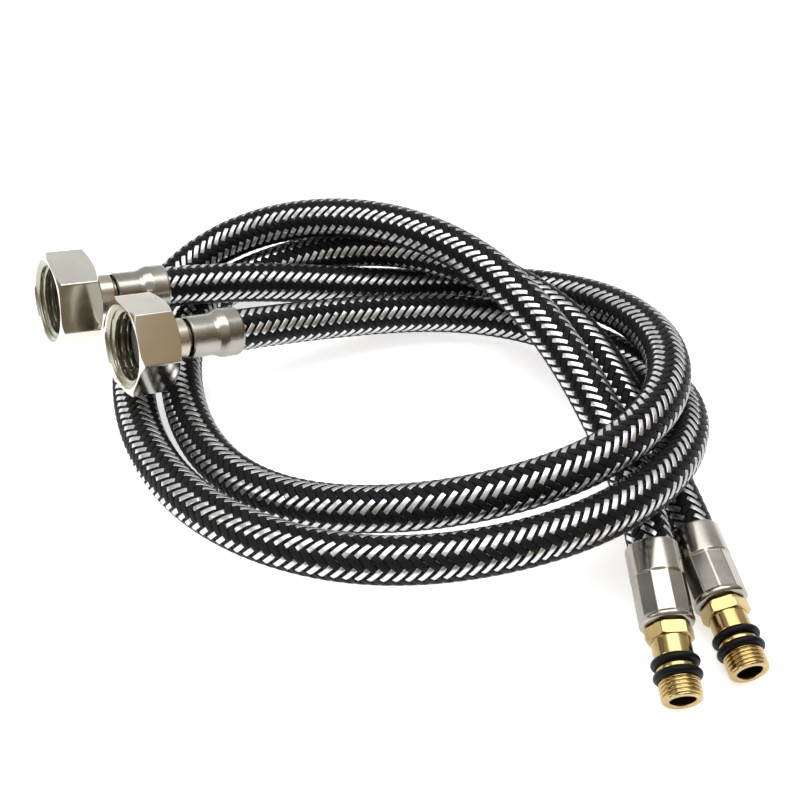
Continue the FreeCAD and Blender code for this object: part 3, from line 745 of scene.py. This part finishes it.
def brass_tail(tag):
    """Brass tube with a thin hexagon, two O-ring grooves and a thread at its tip."""
    theta, side = polygon(6, HEX_PHASE[tag], apothem=5.25, corner=0.18, per=8, edge=0.5)
    chamfer_r = 5.6
    low, high = 21.7, 25.0                       # the hexagon's two faces
    inset = np.minimum(side, chamfer_r)
    drop = np.maximum(side - chamfer_r, 0) * 0.57
    rings = Rings(theta)
    rings.add(
        (3.1, 3.0), (3.6, 3.0), (3.97, 3.8), (3.97, 19.35), (4.7, 19.4), (4.75, 19.5),
        (4.75, 21.65), (4.85, low),
        (inset - 0.10, low), (inset, low + 0.04),
        (side - 0.03, low + 0.04 + drop), (side, low + 0.14 + drop),
        (side, high - 0.14 - drop), (side - 0.03, high - 0.04 - drop),
        (inset, high - 0.04), (inset - 0.10, high),
        (4.95, high), (4.82, high + 0.06), (BRASS_R, high + 0.2))
    for z in np.linspace(25.7, 29.2, 5):
        rings.add((BRASS_R, z))
    for seal_z in SEALS.values():
        rings.add(*[(radius, seal_z + off) for radius, off in (
            (BRASS_R, -1.2), (4.76, -1.11), (4.6, -1.1), (3.87, -1.1), (3.85, -1.0),
            (3.85, 1.0), (3.87, 1.1), (4.6, 1.1), (4.76, 1.11), (BRASS_R, 1.2))])
    pitch = 1.0
    for z in np.arange(35.4, 39.95, pitch / 14):
        crest = np.interp(z, [35.4, 35.65, 39.7, 39.95], [BRASS_R, 4.96, 4.96, BRASS_R])
        fade = np.interp(z, [35.6, 36.0, 39.3, 39.9], [0.0, 1.0, 1.0, 0.3])
        form = thread_form(z, theta, pitch, top=1.3, slope=3.5)
        rings.add((crest - 0.5 * form * fade, z))
    rings.add((4.62, 40.05), (4.45, 40.16), (4.3, 40.195), (4.1, 40.2), (3.55, 40.2),
              (3.45, 40.17), (3.12, 39.85), (3.1, 39.7))
    ob = rings.build(f"brass_tail_{tag}_body", end_frame(tag, "tail"), angle=28.0)
    finish(ob, "brass", "tail_end_" + tag, "male_tail_" + tag)


def o_ring(tag, label, z):
    """A rubber ring with a faint moulding line round its outside."""
    cols = 96
    theta = np.linspace(0, TURN, cols, endpoint=False)
    a = np.linspace(0, TURN, 28, endpoint=False)
    cord = SEAL_CORD_R * (1.0 + 0.02 * np.exp(-(np.minimum(a, TURN - a) / 0.12) ** 2))
    radius = np.repeat((SEAL_R + cord * np.cos(a))[:, None], cols, 1)
    height = np.repeat((z + cord * np.sin(a))[:, None], cols, 1)
    ob = turned(f"seal_{label}_{tag}", end_frame(tag, "tail"), theta, radius, height)
    finish(ob, "rubber", "tail_end_" + tag, f"o_ring_{label}_{tag}")


for tag in "ab":
    tail_ferrule(tag)
    brass_tail(tag)
    for label, seal_z in SEALS.items():
        o_ring(tag, label, seal_z)


# ------------------------------------------------------------------ floor, light and camera
def pale_floor():
    """A wide white floor that glows a little."""
    half = 3000
    floor = mesh_object("floor", [(-half, -half, 0), (half, -half, 0), (half, half, 0),
                                  (-half, half, 0)], [(0, 1, 2, 3)], smooth=False)
    floor.location.z = -0.00005
    mat, tree, bsdf = material("pale_floor")
    patches = noise(tree, coords(tree), scale=3.0, detail=3.0)
    tone = ramp(tree, patches, [(0.3, (0.93, 0.93, 0.93)), (0.7, (0.95, 0.95, 0.95))])
    tree.links.new(tone, bsdf.inputs["Base Color"])
    for key, value in {"Roughness": 0.9, "Specular IOR Level": 0.1,
                       "Emission Color": (1, 1, 1, 1), "Emission Strength": 0.62}.items():
        bsdf.inputs[key].default_value = value
    floor.data.materials.append(mat)


def studio_world():
    """Light and reflections see a graded sky; the camera sees a plain white backdrop."""
    world = bpy.data.worlds.new("studio")
    bpy.context.scene.world = world
    world.use_nodes = True
    tree = world.node_tree
    light = tree.nodes["Background"]
    coord = add_node(tree, "ShaderNodeTexCoord")
    axes = add_node(tree, "ShaderNodeSeparateXYZ")
    tree.links.new(coord.outputs["Generated"], axes.inputs["Vector"])
    graded = ramp(tree, axes.outputs["Z"], [     # warm and dim low down, white overhead
        (0.0, (0.26, 0.215, 0.14)), (0.14, (0.27, 0.22, 0.14)), (0.34, (0.42, 0.33, 0.20)),
        (0.52, (0.66, 0.49, 0.28)), (0.64, (0.85, 0.80, 0.72)), (0.80, (1.05, 1.05, 1.05)),
        (1.0, (1.1, 1.1, 1.1))])
    far_side = remap(tree, axes.outputs["Y"], source=(0.15, 0.60), target=(0.0, 1.0))
    sky = mix_colour(tree, far_side, graded, (1.2, 1.2, 1.19, 1.0))
    tree.links.new(sky, light.inputs["Color"])
    light.inputs["Strength"].default_value = 0.62
    backdrop = add_node(tree, "ShaderNodeBackground", {"Color": (1, 1, 1, 1), "Strength": 1.0})
    seen = add_node(tree, "ShaderNodeMixShader")
    path = add_node(tree, "ShaderNodeLightPath")
    tree.links.new(path.outputs["Is Camera Ray"], seen.inputs[0])
    tree.links.new(light.outputs["Background"], seen.inputs[1])
    tree.links.new(backdrop.outputs["Background"], seen.inputs[2])
    tree.links.new(seen.outputs["Shader"], tree.nodes["World Output"].inputs["Surface"])


def pose(x, y, z, at):
    """Matrix with these axes and origin, in metres."""
    return Matrix(np.vstack([np.column_stack([x, y, z, at]), [0, 0, 0, 1]]).tolist())


def softbox(name, at, size, power):
    """A rectangular light aimed at the origin."""
    light = bpy.data.lights.new(name, "AREA")
    light.shape = "RECTANGLE"
    light.size, light.size_y = size
    light.energy = power
    ob = bpy.data.objects.new(name, light)
    bpy.context.scene.collection.objects.link(ob)
    z = unit(at)
    x = unit(np.cross([0, 1.0, 0.02], z))
    ob.matrix_world = pose(x, np.cross(z, x), z, at)


def camera():
    """Camera on the -Y side, looking towards +Y and down."""
    lens = bpy.data.cameras.new("camera")
    lens.sensor_width = 36.0
    lens.lens = 53.6621265
    lens.shift_x = 0.002892125
    lens.shift_y = 0.000015875
    lens.clip_start = 0.01
    ob = bpy.data.objects.new("camera", lens)
    bpy.context.scene.collection.objects.link(ob)
    tilt_cos, tilt_sin = 0.7316031, 0.6817308    # tilt up from straight down
    ob.matrix_world = pose((1, 0, 0), (0, tilt_cos, tilt_sin), (0, -tilt_sin, tilt_cos),
                           at=(0.0084116, -0.2179352, 0.2559467))
    bpy.context.scene.camera = ob


pale_floor()
studio_world()
softbox("overhead", at=(0.05, 0.15, 0.9), size=(1.1, 0.6), power=6.0)
softbox("left_fill", at=(-0.9, -0.2, 0.5), size=(0.4, 0.5), power=1.5)
camera()
bpy.context.scene.view_settings.view_transform = "Standard"
